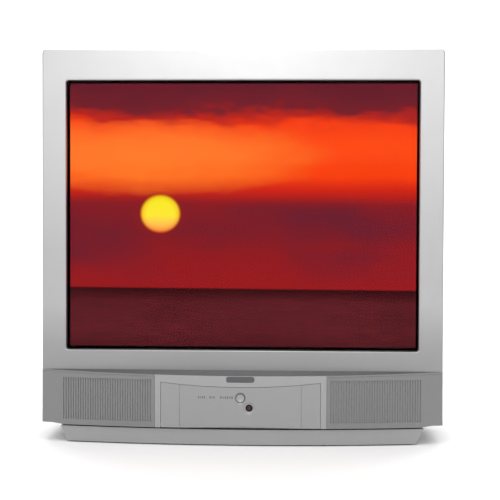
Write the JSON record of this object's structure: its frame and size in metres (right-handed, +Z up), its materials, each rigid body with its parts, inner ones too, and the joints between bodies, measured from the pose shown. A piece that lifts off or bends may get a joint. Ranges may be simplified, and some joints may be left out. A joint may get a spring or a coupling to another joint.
{
  "type": "crt television",
  "caption": "Silver flat-screen tube television with bowed speaker panel, drop-down front door, plinth and full picture tube inside.",
  "frame": {"origin": "on the floor under the middle of the set (centre of its bounding box in X and Y)", "axes": "front faces -Y, +X is the viewer's right, +Z is up"},
  "size_m": [0.634, 0.494, 0.621],
  "materials": {
    "silver_case": "satin silver lacquer",
    "dark_silver": "satin dark grey lacquer",
    "door_silver": "satin mid grey lacquer",
    "charcoal_case": "fine spark texture",
    "black_plastic": "moulded matt",
    "button_silver": "satin silver",
    "badge_metal": "brushed dark nickel",
    "sensor_red": "dark translucent red",
    "foot_rubber": "matt",
    "panel_glass": "clear tinted polished",
    "funnel_glass": "graphite coated",
    "neck_glass": "clear",
    "matrix_black": "black matrix",
    "picture": "lit phosphor picture",
    "mask_steel": "blackened steel",
    "zinc_steel": "zinc plated",
    "tape_black": "vinyl tape wrapped",
    "copper_wire": "enamelled copper winding",
    "ferrite": "sintered ferrite",
    "former_plastic": "off-white moulded",
    "ring_white": "plain moulded",
    "gun_metal": "polished steel",
    "circuit_board": "phenolic laminate",
    "cap_rubber": "silicone rubber",
    "jack_metal": "nickel plated",
    "can_sleeve": "printed-free shrink sleeve",
    "sink_aluminium": "extruded",
    "paper_cone": "coated paper"
  },
  "bodies": {
    "cabinet": {"front_cabinet": "silver_case", "left_grille": "dark_silver", "right_grille": "dark_silver", "control_panel": "black_plastic", "key_board": "circuit_board", "key_switches": "black_plastic", "remote_sensor": "sensor_red", "front_av_jacks": "jack_metal", "badge_plate": "badge_metal", "base_plinth": "door_silver", "rubber_feet": "foot_rubber", "crt_faceplate": "panel_glass", "phosphor_screen": "picture", "black_border": "matrix_black", "shadow_mask": "mask_steel", "crt_funnel": "funnel_glass", "crt_neck": "neck_glass", "electron_gun": "gun_metal", "rim_band": "zinc_steel", "tube_screws": "zinc_steel", "degauss_coil": "tape_black", "yoke_former": "former_plastic", "horizontal_coils": "copper_wire", "vertical_coils": "copper_wire", "yoke_core": "ferrite", "ring_holder": "former_plastic", "crt_socket": "black_plastic", "neck_board": "circuit_board", "anode_cap": "cap_rubber", "chassis_tray": "black_plastic", "main_board": "circuit_board", "flyback_transformer": "black_plastic", "supply_transformer": "ferrite", "capacitors": "can_sleeve", "heat_sinks": "sink_aluminium", "tuner": "zinc_steel", "rear_panel": "black_plastic", "rear_av_jacks": "jack_metal", "antenna_socket": "jack_metal", "cord_gland": "black_plastic", "back_cover": "charcoal_case", "case_screws": "zinc_steel", "left_speaker_basket": "zinc_steel", "left_speaker_cone": "paper_cone", "right_speaker_basket": "zinc_steel", "right_speaker_cone": "paper_cone", "speaker_magnets": "ferrite"},
    "front_door_body": {"front_door": "door_silver"},
    "power_button_body": {"power_button": "button_silver"},
    "menu_button_body": {"menu_button": "button_silver"},
    "channel_down_button_body": {"channel_down_button": "button_silver"},
    "channel_up_button_body": {"channel_up_button": "button_silver"},
    "volume_down_button_body": {"volume_down_button": "button_silver"},
    "volume_up_button_body": {"volume_up_button": "button_silver"},
    "purity_ring_a_body": {"purity_ring_a": "ring_white"},
    "purity_ring_b_body": {"purity_ring_b": "ring_white"},
    "four_pole_ring_a_body": {"four_pole_ring_a": "ring_white"},
    "four_pole_ring_b_body": {"four_pole_ring_b": "ring_white"},
    "six_pole_ring_a_body": {"six_pole_ring_a": "ring_white"},
    "six_pole_ring_b_body": {"six_pole_ring_b": "ring_white"}
  },
  "joints": [
    {"name": "door_hinge", "type": "hinge", "parent": "cabinet", "child": "front_door_body", "pos_m": [0, -0.24, 0.033], "axis": [1, 0, 0], "range_deg": [0, 85]},
    {"name": "power_push", "type": "slide", "parent": "cabinet", "child": "power_button_body", "axis": [0, 1, 0], "range_m": [0, 0.0018], "stiffness_N_per_m": 600, "springref_m": -0.001},
    {"name": "menu_push", "type": "slide", "parent": "cabinet", "child": "menu_button_body", "axis": [0, 1, 0], "range_m": [0, 0.0012], "stiffness_N_per_m": 500, "springref_m": -0.0008},
    {"name": "channel_down_push", "type": "slide", "parent": "cabinet", "child": "channel_down_button_body", "axis": [0, 1, 0], "range_m": [0, 0.0012], "stiffness_N_per_m": 500, "springref_m": -0.0008},
    {"name": "channel_up_push", "type": "slide", "parent": "cabinet", "child": "channel_up_button_body", "axis": [0, 1, 0], "range_m": [0, 0.0012], "stiffness_N_per_m": 500, "springref_m": -0.0008},
    {"name": "volume_down_push", "type": "slide", "parent": "cabinet", "child": "volume_down_button_body", "axis": [0, 1, 0], "range_m": [0, 0.0012], "stiffness_N_per_m": 500, "springref_m": -0.0008},
    {"name": "volume_up_push", "type": "slide", "parent": "cabinet", "child": "volume_up_button_body", "axis": [0, 1, 0], "range_m": [0, 0.0012], "stiffness_N_per_m": 500, "springref_m": -0.0008},
    {"name": "purity_ring_a_turn", "type": "hinge", "parent": "cabinet", "child": "purity_ring_a_body", "pos_m": [0, 0.106, 0.3595], "axis": [0, 1, 0], "range_deg": [-90, 90]},
    {"name": "purity_ring_b_turn", "type": "hinge", "parent": "cabinet", "child": "purity_ring_b_body", "pos_m": [0, 0.109, 0.3595], "axis": [0, 1, 0], "range_deg": [-90, 90]},
    {"name": "four_pole_ring_a_turn", "type": "hinge", "parent": "cabinet", "child": "four_pole_ring_a_body", "pos_m": [0, 0.112, 0.3595], "axis": [0, 1, 0], "range_deg": [-90, 90]},
    {"name": "four_pole_ring_b_turn", "type": "hinge", "parent": "cabinet", "child": "four_pole_ring_b_body", "pos_m": [0, 0.115, 0.3595], "axis": [0, 1, 0], "range_deg": [-90, 90]},
    {"name": "six_pole_ring_a_turn", "type": "hinge", "parent": "cabinet", "child": "six_pole_ring_a_body", "pos_m": [0, 0.118, 0.3595], "axis": [0, 1, 0], "range_deg": [-90, 90]},
    {"name": "six_pole_ring_b_turn", "type": "hinge", "parent": "cabinet", "child": "six_pole_ring_b_body", "pos_m": [0, 0.121, 0.3595], "axis": [0, 1, 0], "range_deg": [-90, 90]}
  ]
}
